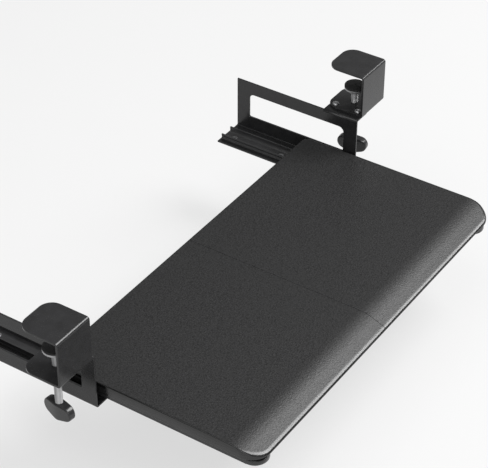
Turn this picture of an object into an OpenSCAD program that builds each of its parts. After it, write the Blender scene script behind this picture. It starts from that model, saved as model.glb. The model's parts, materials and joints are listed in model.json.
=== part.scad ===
// Keyboard tray that clamps to the edge of a desk and slides out from under it.
// Millimetres. X runs along the desk's edge, Y away from the user and Z up. The origin is the middle of the
// tray's top, with the tray pulled out. Side pieces are drawn on the right and mirrored for the left.

/* [Tray] */
// Width of the tray from end to end
tray_w = 580; // [460:5:760]
// Depth of the tray from its lip to its back edge
tray_d = 300; // [260:5:360]
// Thickness of the boards
board_t = 15; // [13:0.5:20]
// Height of the thin lip at the front
lip_h = 3.2; // [2.5:0.1:5]
// Slope of the ramp that falls to the lip, in degrees
ramp_a = 22.5; // [15:0.5:30]
// Radius at which the top bends into the ramp
ramp_r = 63; // [20:1:80]
// Plan radius of the front corners
front_r = 28; // [20:1:40]
// Plan radius of the back corners
back_r = 10; // [5:1:20]
// Gap between the two halves at the seam
seam_gap = 0.3; // [0.2:0.1:0.8]
// Length of the tray that stays behind the clamps' front face when it is pulled out
engaged = 80; // [77:1:120]

/* [Seam joiners] */
// Length of each joiner plate, across the seam
joiner_l = 100; // [80:5:140]
// Width of each joiner plate
joiner_w = 30; // [24:1:40]
// Thickness of each joiner plate
joiner_t = 2; // [1.5:0.5:3]
// Distance from the lip to the middle of the front joiner plate
joiner_front = 90; // [85:1:110]
// Distance from the back edge to the middle of the rear joiner plate
joiner_back = 60; // [55:1:80]
// Distance of the joiner screws from the plate's ends
joiner_end = 15; // [8:1:25]
// Distance of the joiner screws from the plate's sides
joiner_side = 7; // [6:0.5:9]
// Diameter of the seam dowels
dowel_d = 8; // [6:1:8]
// Length of the seam dowels
dowel_l = 40; // [30:2:50]
// Distance of the end dowels from the joiner plates' middles
dowel_off = 40; // [30:1:45]

/* [Clamps] */
// Width of each clamp along the desk's edge
clamp_w = 60; // [54:1:80]
// Depth of each clamp's plates from the front face
clamp_d = 60; // [56:1:80]
// Outside height of each clamp
clamp_h = 66.5; // [62:0.5:90]
// Thickness of the clamp's plate
clamp_t = 3; // [2.5:0.5:5]
// Inside radius of the clamp's bends
clamp_bend = 1; // [0.5:0.5:3]
// Plan radius of the plates' back corners
clamp_back_r = 18; // [8:1:24]
// Height of the clamp's underside over the tray's top
clamp_up = 50.7; // [40:0.1:80]
// Distance from the tray's end to the clamp's inner edge
clamp_gap = 17; // [15:0.5:30]
// Thickness of the rubber under the top plate
jaw_pad_t = 1.8; // [1:0.1:4]
// Distance of that rubber from the plate's edges
jaw_pad_edge = 5; // [4:0.5:8]
// Thickness of the desk that the jaws are set to
desk_t = 31.2; // [18:0.1:40]

/* [Clamp screw] */
// Diameter of the screw over its thread
screw_d = 9.7; // [8:0.1:12]
// Length of the screw below its shoulder
screw_len = 96.5; // [85:0.5:120]
// Distance from the clamp's front face to the screw's axis
screw_back = 30; // [27:0.5:34]
// Width of the clamp nut across its flats
nut_af = 16; // [15:1:19]
// Height of the clamp nut
nut_h = 8.4; // [6:0.2:10]
// Diameter of the screw's tip
tip_d = 8; // [6:0.1:8]
// Length of the screw's tip
tip_len = 5; // [4.6:0.1:7]
// Depth of the clip groove in the tip
groove_d = 0.8; // [0.5:0.1:1.2]
// Thickness of the clip
clip_t = 0.9; // [0.6:0.1:1.2]
// Outside diameter of the clip
clip_d = 12; // [10:0.5:12.5]
// Diameter of the pressure cup
cup_d = 30; // [24:1:31]
// Thickness of the pressure cup's plate
cup_t = 3; // [2:0.5:4]
// Diameter of the cup's collar
collar_d = 18; // [16:0.5:22]
// Height of the cup's collar
collar_h = 5; // [4:0.5:8]
// Thickness of the collar's floor
collar_floor = 2.5; // [1.5:0.1:3]
// Diameter of the hollow in the cup
hollow_d = 13.2; // [13:0.1:15]
// Thickness of the rubber on the cup
press_pad_t = 3; // [2:0.5:5]

/* [Wing knob] */
// Span of the knob over both lobes
knob_span = 45; // [40:1:50]
// Diameter of each lobe
lobe_d = 20.5; // [18:0.5:22]
// Depth of the lobes' middles below the pinned length's top
lobe_low = 3.4; // [2:0.2:5]
// Diameter of the round belly between the lobes
belly_d = 21; // [19:0.5:24]
// Depth of the belly's middle below the pinned length's top
belly_low = 7; // [6:0.2:8.4]
// Thickness of the wings
knob_t = 11; // [9:0.5:13]
// Angle at which the knob rests, seen from above
knob_turn = 8; // [0:1:30]
// Diameter of the hub
hub_d = 15; // [14:0.5:18]
// Depth of the hub below the pinned length's top
hub_h = 18; // [17:0.5:24]
// Length of the screw inside the knob
knob_grip = 13.5; // [10:0.5:16]
// Diameter of the cross pin
pin_d = 3; // [2:0.5:4]
// Height of the cross pin over the screw's end
pin_up = 5; // [4:0.5:8]

/* [Arms] */
// Thickness of the arm's sheet
arm_t = 2.5; // [2:0.25:3]
// Inside radius of the arm's bends
arm_bend = 1.5; // [1:0.25:3]
// Distance from the tray's end to the arm's web
arm_gap = 8.7; // [5:0.1:10]
// Length of the arm
arm_len = 200; // [180:5:300]
// Length of the flange under the clamp
top_flange_l = 55; // [52:1:56]
// Distance of the foot flange's inner edge from the fixed rail
foot_edge = 6; // [2:0.5:10]
// Width of the web in front of its window
window_front = 21; // [15:1:40]
// Width of the web behind its window
window_back = 21; // [15:1:40]
// Height of the web over its window
window_top = 19.4; // [12:0.1:25]
// Height of the web under its window
window_low = 23.8; // [15:0.1:30]
// Radius of the window's upper corners
window_r = 8; // [3:0.5:10]
// Radius of the window's lower corners
window_low_r = 2; // [1:0.5:6]
// Diameter of the arm bolts
bolt_d = 5; // [4:0.5:6]
// Length of the arm bolts under their heads
bolt_l = 13; // [12:0.5:16]
// Diameter of the arm bolts' heads
bolt_head_d = 9.5; // [8:0.5:10]
// Height of the arm bolts' heads
bolt_head_h = 2.7; // [2:0.1:3.5]
// Width of the arm nuts across their flats
bolt_nut_af = 8; // [7:0.5:10]
// Height of the arm nuts
bolt_nut_h = 4; // [3:0.5:5]
// Distance of the arm bolts from the clamp's inner edge
bolt_in = 9; // [7:0.5:9]
// Distance of the arm bolts from the flange's outer edge
bolt_edge = 9.5; // [6:0.5:10]
// Distance between the arm bolts
bolt_apart = 36; // [28:1:38]

/* [Slides] */
// Distance of the runner from the tray's end
runner_in = 7; // [4:0.5:20]
// Width of the runner
runner_w = 36; // [32:1:44]
// Height of the runner
runner_h = 12.5; // [11:0.5:16]
// Thickness of the runner's sheet
runner_t = 2; // [1.5:0.1:2.5]
// Distance of the runner's end from the tray's back edge
runner_back = 1; // [0.5:0.5:2]
// Room between the runner and the arm's foot
slide_gap = 0.8; // [0.4:0.1:1.5]
// Room between the runner's side and the fixed rail's side
race_gap = 4; // [3.5:0.1:4.5]
// Diameter of the balls
ball_d = 5; // [4.8:0.1:5.6]
// Distance from ball to ball
ball_pitch = 9.5; // [7.5:0.5:14]
// Thickness of the ball cage's sides
cage_t = 1.2; // [0.8:0.1:1.6]
// Thickness of the ball cage's bridge
cage_bridge_t = 1; // [0.6:0.1:1.5]
// Length of the cage beyond its end balls
cage_edge = 6; // [4:0.5:8]
// Thickness of the fixed rail's sheet
rail_t = 2; // [1.8:0.1:2.5]
// Distance of the fixed rail from the arm's front edge
rail_front = 7; // [6:0.5:9]
// Distance of the fixed rail from the arm's back edge
rail_back = 3; // [1:0.5:10]
// Length of the rubber stop in the fixed rail
stop_l = 8; // [5:0.5:10]
// Width of the rubber stop
stop_w = 14; // [10:0.5:16]
// Diameter of the stop's stud
stud_d = 4; // [3:0.5:5]
// Thickness of the runner's stop tab
tab_t = 2; // [1.5:0.5:3]
// Depth of the runner's stop tab
tab_h = 7; // [5:0.5:7.5]
// Distance of the cap's nose behind the tray's lip
cap_set = 2.8; // [1:0.2:8]
// Thickness of the cap's wall
cap_wall = 2.5; // [1.5:0.1:3]
// Shadow gap between the board and the cap
cap_drop = 1.5; // [0.5:0.1:1.8]
// Thickness of the cap's roof
cap_roof = 1.5; // [1:0.1:1.8]
// Length of the tongue that holds the cap in the runner
tongue_l = 14; // [12:1:20]
// Thickness of that tongue
tongue_t = 0.9; // [0.6:0.1:1]

/* [Wood and rail screws] */
// Diameter of the countersunk screws
csk_d = 4; // [3.5:0.5:4.5]
// Diameter of the countersunk heads
csk_head_d = 7.6; // [6.5:0.1:8]
// Depth to which the runner screws enter the board
csk_deep = 10; // [6:0.5:11]
// Number of runner screws on a side
runner_screw_n = 4; // [3:1:6]
// Number of rail screws on a side
rail_screw_n = 3; // [2:1:4]
// Length of the rail screws below the foot
rail_screw_out = 4; // [3.5:0.5:6]
// Width of the rail nuts across their flats
rail_nut_af = 7; // [7:0.5:8]
// Height of the rail nuts
rail_nut_h = 3.2; // [2:0.2:3.4]
// Diameter of the pan head screws
pan_d = 3.5; // [3:0.5:4]
// Diameter of the pan heads
pan_head_d = 6.5; // [6:0.1:7.5]
// Height of the pan heads
pan_head_h = 2; // [1.5:0.1:2.5]
// Depth to which the pan head screws enter the board
pan_deep = 9; // [6:0.5:10]

/* [Hidden] */
$fn = 64;
black_steel = [0.17, 0.17, 0.18];
black_board = [0.12, 0.12, 0.12];
black_rubber = [0.07, 0.07, 0.07];
black_plastic = [0.13, 0.13, 0.13];
bare_steel = [0.75, 0.75, 0.77];
zinc = [0.62, 0.62, 0.60];
beech = [0.76, 0.60, 0.42];

// Clearances
fit = 0.05;     // round pieces that turn or sit in a bore, at the radius
play = 0.1;     // balls in their races, and faces that meet across a joint
hole_play = 0.2; // screws in clearance holes, at the radius
slack = 0.3;    // flat pieces that pass each other
cage_end = 3;   // room before and behind the ball cage
over = 1;       // overshoot of a cutting tool

// Places along Y
y_lip = -tray_d / 2;
y_back = tray_d / 2;
clamp_y = y_back - engaged;
arm_y = clamp_y + clamp_t;
rail_y = arm_y + rail_front;
rail_l = arm_len - rail_front - rail_back;
cap_y = y_lip + cap_set + runner_w / 2;
runner_y1 = y_back - runner_back;
runner_l = runner_y1 - cap_y;
tab_y = runner_y1 - tab_t;
stop_y = tab_y - slack - stop_l;
screw_y = clamp_y + screw_back;

// Places along X
tray_x = tray_w / 2;
web_x = tray_x + arm_gap;
clamp_x = tray_x + clamp_gap;
screw_x = clamp_x + clamp_w / 2;
bolt_x = clamp_x + bolt_in;
slide_x = tray_x - runner_in - runner_w / 2;
rail_w = runner_w - 2 * runner_t - 2 * race_gap;
race_x = rail_w / 2 + race_gap / 2;

// Places along Z
runner_z = -board_t - runner_h;
roof_z = -board_t - runner_t;
foot_z = runner_z - slide_gap;
foot_z0 = foot_z - arm_t;
rail_z1 = roof_z - 2 * slack - cage_bridge_t;
floor_z = foot_z + rail_t;
ball_z = (rail_z1 + runner_z) / 2;
clamp_z1 = clamp_up + clamp_h;
plate_z = clamp_up + clamp_t;
jaw_z = clamp_z1 - clamp_t - jaw_pad_t;
pad_z1 = jaw_z - desk_t;
cup_z1 = pad_z1 - press_pad_t;
cup_z0 = cup_z1 - cup_t - collar_h;
shoulder_z = cup_z0 - play;
screw_z0 = shoulder_z - screw_len;
hub_z1 = screw_z0 + knob_grip;
knob_up = lobe_d / 2 - lobe_low;
lobe_u = (knob_span - lobe_d) / 2;
belly_fall = belly_low - lobe_low;
knob_edge = atan2(belly_fall, lobe_u) - acos((belly_d - lobe_d) / 2 / norm([lobe_u, belly_fall]));
flange_z0 = clamp_up - arm_t;

// Front ramp: an arc, then a straight fall to the lip
ramp_fall = board_t - lip_h;
bend_r = min(ramp_r, 0.8 * ramp_fall / (1 - cos(ramp_a)));
bend_fall = bend_r * (1 - cos(ramp_a));
ramp_run = (ramp_fall - bend_fall) / tan(ramp_a);
ramp_y = y_lip + ramp_run;
bend_y = ramp_y + bend_r * sin(ramp_a);

// Ball cage: as many balls as the pulled-out slide has room for
cage_y = rail_y + cage_end;
cage_room = tab_y - cage_end - cage_y;
ball_n = floor((cage_room - 2 * cage_edge) / ball_pitch) + 1;
cage_l = (ball_n - 1) * ball_pitch + 2 * cage_edge;

// Screw places
csk_h = csk_head_d / 2 - csk_d / 2;
runner_screw_first = cap_y + 2 * tongue_l + csk_head_d;
runner_screw_last = tab_y - 2 * csk_head_d;
runner_screw_ys = [for (i = [0:runner_screw_n - 1])
    runner_screw_first + i * (runner_screw_last - runner_screw_first) / (runner_screw_n - 1)];
rail_screw_first = rail_y + 2 * csk_head_d;
rail_screw_last = rail_y + rail_l - 2 * csk_head_d;
rail_screw_ys = [for (i = [0:rail_screw_n - 1])
    rail_screw_first + i * (rail_screw_last - rail_screw_first) / (rail_screw_n - 1)];
cap_screw_y = cap_y + tongue_l / 2;
bolt_ys = [screw_y - bolt_apart / 2, screw_y + bolt_apart / 2];
joiner_ys = [y_lip + joiner_front, y_back - joiner_back];
joiner_xs = [-joiner_l / 2 + joiner_end, joiner_l / 2 - joiner_end];
joiner_dys = [-joiner_w / 2 + joiner_side, joiner_w / 2 - joiner_side];
dowel_ys = [joiner_ys[0] - dowel_off, (joiner_ys[0] + joiner_ys[1]) / 2, joiner_ys[1] + dowel_off];

// Shared shapes

// Carries an outline drawn in Y and Z along X
module along_x(x, l) {
    translate([x, 0, 0]) rotate([90, 0, 90]) linear_extrude(l) children();
}

// Carries an outline drawn in X and Z along Y
module along_y(y, l) {
    translate([0, y + l, 0]) rotate([90, 0, 0]) linear_extrude(l) children();
}

// Carries an outline drawn in X and Y along Z
module along_z(z, l) {
    translate([0, 0, z]) linear_extrude(l) children();
}

// Rod along X, Y or Z from a start point
module rod_x(p, d, l) {
    translate(p) rotate([0, 90, 0]) cylinder(d = d, h = l);
}
module rod_y(p, d, l) {
    translate(p) rotate([-90, 0, 0]) cylinder(d = d, h = l);
}
module rod_z(p, d, l) {
    translate(p) cylinder(d = d, h = l);
}

// Outline between two corners
module area(a, b) {
    translate(a) square(b - a);
}

// Quarter of a bent sheet in the quadrant of +X and +Y, about its bend's centre
module bend_area(inside, t) {
    intersection() {
        difference() {
            circle(inside + t);
            circle(inside);
        }
        square(inside + t);
    }
}

// What a round corner takes off, for a corner at the origin of an area that lies in -X and -Y
module corner_cut(r) {
    difference() {
        translate([-r, -r]) square(r + over);
        translate([-r, -r]) circle(r);
    }
}

// Hexagon nut with its lower face at a point
module hex_nut(p, af, h, bore) {
    translate(p) difference() {
        cylinder(d = af / cos(30), h = h, $fn = 6);
        rod_z([0, 0, -over], bore, h + 2 * over);
    }
}

// Screw with a flat countersunk head, head down at z = 0 and shank up
module csk_screw(l, grow = 0) {
    cylinder(r1 = csk_head_d / 2 + grow, r2 = csk_d / 2 + grow, h = csk_h);
    rod_z([0, 0, csk_h], csk_d + 2 * grow, l - csk_h);
}

// Pan head screw, head below z = 0 and shank up
module pan_screw(l) {
    rod_z([0, 0, -pan_head_h], pan_head_d, pan_head_h);
    cylinder(d = pan_d, h = l);
}

module on_left() {
    mirror([1, 0, 0]) children();
}

// Clamps

module clamp_profile() {
    r = clamp_bend + clamp_t;
    y1 = clamp_y + clamp_d;
    area([clamp_y + r, clamp_z1 - clamp_t], [y1, clamp_z1]);
    area([clamp_y + r, clamp_up], [y1, plate_z]);
    area([clamp_y, clamp_up + r], [arm_y, clamp_z1 - r]);
    translate([clamp_y + r, clamp_z1 - r]) mirror([1, 0]) bend_area(clamp_bend, clamp_t);
    translate([clamp_y + r, clamp_up + r]) rotate(180) bend_area(clamp_bend, clamp_t);
}

// Plate outline with round back corners, drawn in from the clamp's edges
module clamp_plan(edge, r) {
    x0 = clamp_x + edge;
    x1 = clamp_x + clamp_w - edge;
    y1 = clamp_y + clamp_d - edge;
    difference() {
        area([x0, clamp_y + edge], [x1, y1]);
        translate([x1, y1]) corner_cut(r);
        translate([x0, y1]) mirror([1, 0]) corner_cut(r);
    }
}

module clamp_bracket() {
    difference() {
        intersection() {
            along_x(clamp_x, clamp_w) clamp_profile();
            along_z(clamp_up, clamp_h) clamp_plan(0, clamp_back_r);
        }
        rod_z([screw_x, screw_y, clamp_up - over], screw_d + 2 * slack, clamp_t + 2 * over);
        for (y = bolt_ys)
            rod_z([bolt_x, y, clamp_up - over], bolt_d + 2 * hole_play, clamp_t + 2 * over);
    }
}

module jaw_pad() {
    along_z(jaw_z, jaw_pad_t) clamp_plan(jaw_pad_edge, clamp_back_r - jaw_pad_edge);
}

module clamp_nut() {
    hex_nut([screw_x, screw_y, clamp_up - nut_h], nut_af, nut_h, screw_d + 2 * fit);
}

// Clamp screws

module clamp_screw() {
    r = screw_d / 2;
    tip = tip_d / 2;
    cut = tip - groove_d;
    g0 = screw_len + play + collar_floor + play;
    g1 = g0 + clip_t + play;
    chamfer = 1;
    top = screw_len + tip_len;
    difference() {
        translate([screw_x, screw_y, screw_z0]) rotate_extrude() polygon([
            [0, 0], [r - chamfer, 0], [r, chamfer], [r, screw_len], [tip, screw_len],
            [tip, g0], [cut, g0], [cut, g1], [tip, g1], [tip, top], [0, top]
        ]);
        on_turn() rod_x([screw_x - screw_d, screw_y, screw_z0 + pin_up], pin_d + 2 * fit, 2 * screw_d);
    }
}

module screw_clip() {
    z = cup_z0 + collar_floor + 1.5 * play;
    difference() {
        rod_z([screw_x, screw_y, z], clip_d, clip_t);
        rod_z([screw_x, screw_y, z - over], tip_d - 2 * groove_d + 2 * fit, clip_t + 2 * over);
    }
}

// Lobes and belly with the lines that touch both
module knob_outline() {
    lobe = [lobe_u + lobe_d / 2 * cos(knob_edge), lobe_d / 2 * sin(knob_edge) - lobe_low];
    belly = [belly_d / 2 * cos(knob_edge), belly_d / 2 * sin(knob_edge) - belly_low];
    for (side = [-1, 1]) translate([side * lobe_u, -lobe_low]) circle(d = lobe_d);
    translate([0, -belly_low]) circle(d = belly_d);
    polygon([
        [-lobe_u, knob_up], [-lobe[0], lobe[1]], [-belly[0], belly[1]],
        belly, lobe, [lobe_u, knob_up]
    ]);
}

// Turns the knob and its pin about the screw's axis
module on_turn() {
    translate([screw_x, screw_y, 0]) rotate([0, 0, knob_turn]) translate([-screw_x, -screw_y, 0]) children();
}

module wing_knob() {
    on_turn() difference() {
        union() {
            along_x(screw_x - knob_t / 2, knob_t) translate([screw_y, hub_z1]) knob_outline();
            rod_z([screw_x, screw_y, hub_z1 - hub_h], hub_d, hub_h + knob_up);
        }
        rod_z([screw_x, screw_y, screw_z0], screw_d + 2 * fit, screw_len);
        rod_x([screw_x - hub_d, screw_y, screw_z0 + pin_up], pin_d + 2 * fit, 2 * hub_d);
    }
}

module knob_pin() {
    on_turn() rod_x([screw_x - knob_t / 2, screw_y, screw_z0 + pin_up], pin_d, knob_t);
}

module pressure_cup() {
    bore = tip_d / 2 + fit;
    h = collar_h + cup_t;
    translate([screw_x, screw_y, cup_z0]) rotate_extrude() polygon([
        [bore, 0], [collar_d / 2, 0], [collar_d / 2, collar_h], [cup_d / 2, collar_h],
        [cup_d / 2, h], [hollow_d / 2, h], [hollow_d / 2, collar_floor], [bore, collar_floor]
    ]);
}

module pressure_pad() {
    chamfer = 0.6;
    r = cup_d / 2;
    translate([screw_x, screw_y, cup_z1]) rotate_extrude() polygon([
        [0, 0], [r, 0], [r, press_pad_t - chamfer], [r - chamfer, press_pad_t], [0, press_pad_t]
    ]);
}

// Arms

module arm_profile() {
    r = arm_bend + arm_t;
    area([web_x, foot_z0 + r], [web_x + arm_t, clamp_up - r]);
    area([slide_x - rail_w / 2 - foot_edge, foot_z0], [web_x + arm_t - r, foot_z]);
    translate([web_x + arm_t - r, foot_z0 + r]) mirror([0, 1]) bend_area(arm_bend, arm_t);
}

module arm_top_profile() {
    r = arm_bend + arm_t;
    area([web_x + r, flange_z0], [bolt_x + bolt_edge, clamp_up]);
    translate([web_x + r, clamp_up - r]) mirror([1, 0]) bend_area(arm_bend, arm_t);
}

// Upper strip of the web behind the top flange
module arm_edge_profile() {
    area([web_x, clamp_up - arm_bend - arm_t], [web_x + arm_t, clamp_up]);
}

module arm_window() {
    y0 = arm_y + window_front;
    y1 = arm_y + arm_len - window_back;
    z0 = foot_z0 + window_low;
    z1 = clamp_up - window_top;
    difference() {
        area([y0, z0], [y1, z1]);
        translate([y1, z1]) corner_cut(window_r);
        translate([y0, z1]) mirror([1, 0]) corner_cut(window_r);
        translate([y1, z0]) mirror([0, 1]) corner_cut(window_low_r);
        translate([y0, z0]) rotate(180) corner_cut(window_low_r);
    }
}

module arm() {
    difference() {
        union() {
            along_y(arm_y, arm_len) arm_profile();
            along_y(arm_y, top_flange_l) arm_top_profile();
            along_y(arm_y + top_flange_l, arm_len - top_flange_l) arm_edge_profile();
        }
        along_x(web_x - over, arm_t + 2 * over) arm_window();
        rod_z([screw_x, screw_y, flange_z0 - over], nut_af / cos(30) + 2 * slack, arm_t + 2 * over);
        for (y = bolt_ys)
            rod_z([bolt_x, y, flange_z0 - over], bolt_d + 2 * hole_play, arm_t + 2 * over);
        for (y = rail_screw_ys)
            rod_z([slide_x, y, foot_z0 - over], csk_d + 2 * hole_play, arm_t + 2 * over);
    }
}

module arm_bolts() {
    for (y = bolt_ys) {
        rod_z([bolt_x, y, plate_z], bolt_head_d, bolt_head_h);
        rod_z([bolt_x, y, plate_z - bolt_l], bolt_d, bolt_l);
    }
}

module arm_nuts() {
    for (y = bolt_ys)
        hex_nut([bolt_x, y, flange_z0 - bolt_nut_h], bolt_nut_af, bolt_nut_h, bolt_d + 2 * fit);
}

// Slides

// Pair of ball races along Y, about the slide's middle
module ball_races(y, l) {
    for (side = [-1, 1])
        rod_y([slide_x + side * race_x, y, ball_z], ball_d + 2 * play, l);
}

module fixed_rail_profile() {
    x0 = slide_x - rail_w / 2;
    x1 = slide_x + rail_w / 2;
    area([x0, foot_z], [x1, floor_z]);
    area([x0, foot_z], [x0 + rail_t, rail_z1]);
    area([x1 - rail_t, foot_z], [x1, rail_z1]);
}

module fixed_rail() {
    difference() {
        along_y(rail_y, rail_l) fixed_rail_profile();
        ball_races(rail_y - over, rail_l + 2 * over);
        for (y = rail_screw_ys)
            translate([slide_x, y, floor_z]) mirror([0, 0, 1]) csk_screw(rail_t + over, fit);
        rod_z([slide_x, stop_y + stop_l / 2, foot_z - over], stud_d + 2 * fit, rail_t + 2 * over);
    }
}

module rail_screws() {
    l = rail_t + arm_t + rail_screw_out;
    for (y = rail_screw_ys)
        translate([slide_x, y, floor_z]) mirror([0, 0, 1]) csk_screw(l);
}

module rail_nuts() {
    for (y = rail_screw_ys)
        hex_nut([slide_x, y, foot_z0 - rail_nut_h], rail_nut_af, rail_nut_h, csk_d + 2 * fit);
}

// Rubber block in the fixed rail, which meets the runner's tab when the tray is pulled out
module rail_stop() {
    along_y(stop_y, stop_l) area([slide_x - stop_w / 2, floor_z], [slide_x + stop_w / 2, rail_z1 - slack]);
    rod_z([slide_x, stop_y + stop_l / 2, foot_z], stud_d, rail_t);
}

module runner_profile() {
    x0 = slide_x - runner_w / 2;
    x1 = slide_x + runner_w / 2;
    area([x0, roof_z], [x1, -board_t]);
    area([x0, runner_z], [x0 + runner_t, -board_t]);
    area([x1 - runner_t, runner_z], [x1, -board_t]);
}

module runner() {
    difference() {
        along_y(cap_y, runner_l) runner_profile();
        ball_races(cap_y - over, runner_l + 2 * over);
        for (y = runner_screw_ys)
            translate([slide_x, y, roof_z]) csk_screw(runner_t + over, fit);
        rod_z([slide_x, cap_screw_y, roof_z - over], pan_d + 2 * hole_play, runner_t + 2 * over);
    }
}

// Plate welded under the runner's roof at its back end, which meets the rubber stop
module runner_tab() {
    along_y(tab_y, tab_t) area([slide_x - stop_w / 2, roof_z - tab_h], [slide_x + stop_w / 2, roof_z]);
}

module runner_screws() {
    for (y = runner_screw_ys)
        translate([slide_x, y, roof_z]) csk_screw(runner_t + csk_deep);
}

// Half round of the cap in plan
module cap_plan(r) {
    intersection() {
        translate([slide_x, cap_y]) circle(r);
        area([slide_x - r, cap_y - r - over], [slide_x + r, cap_y]);
    }
}

module runner_cap() {
    roof_z1 = -board_t - cap_drop;
    hollow_z = roof_z1 - cap_roof;
    r = runner_w / 2;
    reach = r - cap_wall - slack;
    difference() {
        union() {
            along_z(runner_z, roof_z1 - runner_z) cap_plan(r);
            along_z(roof_z - tongue_t, tongue_t)
                area([slide_x - reach, cap_y - cap_wall], [slide_x + reach, cap_y + tongue_l]);
        }
        along_z(runner_z - over, hollow_z - runner_z + over)
            translate([slide_x, cap_y]) circle(r - cap_wall);
        rod_z([slide_x, cap_screw_y, roof_z - tongue_t - over], pan_d + 2 * hole_play, tongue_t + 2 * over);
    }
}

module cap_screw() {
    translate([slide_x, cap_screw_y, roof_z - tongue_t]) pan_screw(tongue_t + runner_t + pan_deep);
}

module ball_cage_profile() {
    x0 = slide_x - race_x - cage_t / 2;
    x1 = slide_x + race_x + cage_t / 2;
    z0 = foot_z + rail_t;
    z1 = rail_z1 + slack + cage_bridge_t;
    area([x0, z1 - cage_bridge_t], [x1, z1]);
    area([x0, z0], [x0 + cage_t, z1]);
    area([x1 - cage_t, z0], [x1, z1]);
}

module ball_cage() {
    difference() {
        along_y(cage_y, cage_l) ball_cage_profile();
        for (i = [0:ball_n - 1])
            rod_x([slide_x - runner_w / 2, cage_y + cage_edge + i * ball_pitch, ball_z],
                ball_d + 2 * hole_play, runner_w);
    }
}

module balls() {
    for (i = [0:ball_n - 1], side = [-1, 1])
        translate([slide_x + side * race_x, cage_y + cage_edge + i * ball_pitch, ball_z]) sphere(d = ball_d);
}

// Tray

module board_profile() {
    rise = tan(ramp_a);
    difference() {
        area([y_lip, -board_t], [y_back, 0]);
        polygon([
            [y_lip - over, lip_h - board_t - over * rise],
            [y_lip + (ramp_fall + over) / rise, over],
            [y_lip - over, over]
        ]);
        difference() {
            area([ramp_y, -bend_fall], [bend_y, over]);
            translate([bend_y, -bend_r]) circle(bend_r, $fn = 128);
        }
    }
}

module board_plan() {
    difference() {
        area([seam_gap / 2, y_lip], [tray_x, y_back]);
        translate([tray_x, y_back]) corner_cut(back_r);
        translate([tray_x, y_lip]) mirror([0, 1]) corner_cut(front_r);
    }
}

module board() {
    difference() {
        intersection() {
            along_x(0, tray_x) board_profile();
            along_z(-board_t, board_t) board_plan();
        }
        for (y = runner_screw_ys)
            rod_z([slide_x, y, -board_t - over], csk_d + 2 * fit, csk_deep + over + slack);
        rod_z([slide_x, cap_screw_y, -board_t - over], pan_d + 2 * fit, pan_deep + over + slack);
        for (y = joiner_ys, dy = joiner_dys)
            rod_z([joiner_xs[1], y + dy, -board_t - over], pan_d + 2 * fit, pan_deep + over + slack);
        for (y = dowel_ys)
            rod_x([-over, y, -board_t / 2], dowel_d + 2 * fit, dowel_l / 2 + over + slack);
    }
}

module seam_dowels() {
    color(beech) for (y = dowel_ys)
        rod_x([-dowel_l / 2, y, -board_t / 2], dowel_d, dowel_l);
}

module joiner_plate(y) {
    difference() {
        along_z(-board_t - joiner_t, joiner_t)
            area([-joiner_l / 2, y - joiner_w / 2], [joiner_l / 2, y + joiner_w / 2]);
        for (x = joiner_xs, dy = joiner_dys)
            rod_z([x, y + dy, -board_t - joiner_t - over], pan_d + 2 * hole_play, joiner_t + 2 * over);
    }
}

module front_joiner_plate() {
    color(black_steel) joiner_plate(joiner_ys[0]);
}

module rear_joiner_plate() {
    color(black_steel) joiner_plate(joiner_ys[1]);
}

module joiner_screws() {
    color(zinc) for (x = joiner_xs, y = joiner_ys, dy = joiner_dys)
        translate([x, y + dy, -board_t - joiner_t]) pan_screw(joiner_t + pan_deep);
}

// Left and right pieces

module left_clamp_bracket() { color(black_steel) on_left() clamp_bracket(); }
module right_clamp_bracket() { color(black_steel) clamp_bracket(); }
module left_jaw_pad() { color(black_rubber) on_left() jaw_pad(); }
module right_jaw_pad() { color(black_rubber) jaw_pad(); }
module left_clamp_nut() { color(black_steel) on_left() clamp_nut(); }
module right_clamp_nut() { color(black_steel) clamp_nut(); }
module left_arm() { color(black_steel) on_left() arm(); }
module right_arm() { color(black_steel) arm(); }
module left_arm_bolts() { color(zinc) on_left() arm_bolts(); }
module right_arm_bolts() { color(zinc) arm_bolts(); }
module left_arm_nuts() { color(zinc) on_left() arm_nuts(); }
module right_arm_nuts() { color(zinc) arm_nuts(); }
module left_fixed_rail() { color(black_steel) on_left() fixed_rail(); }
module right_fixed_rail() { color(black_steel) fixed_rail(); }
module left_rail_screws() { color(zinc) on_left() rail_screws(); }
module right_rail_screws() { color(zinc) rail_screws(); }
module left_rail_nuts() { color(zinc) on_left() rail_nuts(); }
module right_rail_nuts() { color(zinc) rail_nuts(); }
module left_rail_stop() { color(black_rubber) on_left() rail_stop(); }
module right_rail_stop() { color(black_rubber) rail_stop(); }
module left_board() { color(black_board) on_left() board(); }
module right_board() { color(black_board) board(); }
module left_runner() { color(black_steel) on_left() runner(); }
module right_runner() { color(black_steel) runner(); }
module left_runner_tab() { color(black_steel) on_left() runner_tab(); }
module right_runner_tab() { color(black_steel) runner_tab(); }
module left_runner_cap() { color(black_plastic) on_left() runner_cap(); }
module right_runner_cap() { color(black_plastic) runner_cap(); }
module left_runner_screws() { color(zinc) on_left() runner_screws(); }
module right_runner_screws() { color(zinc) runner_screws(); }
module left_cap_screw() { color(zinc) on_left() cap_screw(); }
module right_cap_screw() { color(zinc) cap_screw(); }
module left_ball_cage() { color(zinc) on_left() ball_cage(); }
module right_ball_cage() { color(zinc) ball_cage(); }
module left_balls() { color(bare_steel) on_left() balls(); }
module right_balls() { color(bare_steel) balls(); }
module left_pressure_cup() { color(bare_steel) on_left() pressure_cup(); }
module right_pressure_cup() { color(bare_steel) pressure_cup(); }
module left_pressure_pad() { color(black_rubber) on_left() pressure_pad(); }
module right_pressure_pad() { color(black_rubber) pressure_pad(); }
module left_clamp_screw() { color(bare_steel) on_left() clamp_screw(); }
module right_clamp_screw() { color(bare_steel) clamp_screw(); }
module left_screw_clip() { color(zinc) on_left() screw_clip(); }
module right_screw_clip() { color(zinc) screw_clip(); }
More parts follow.
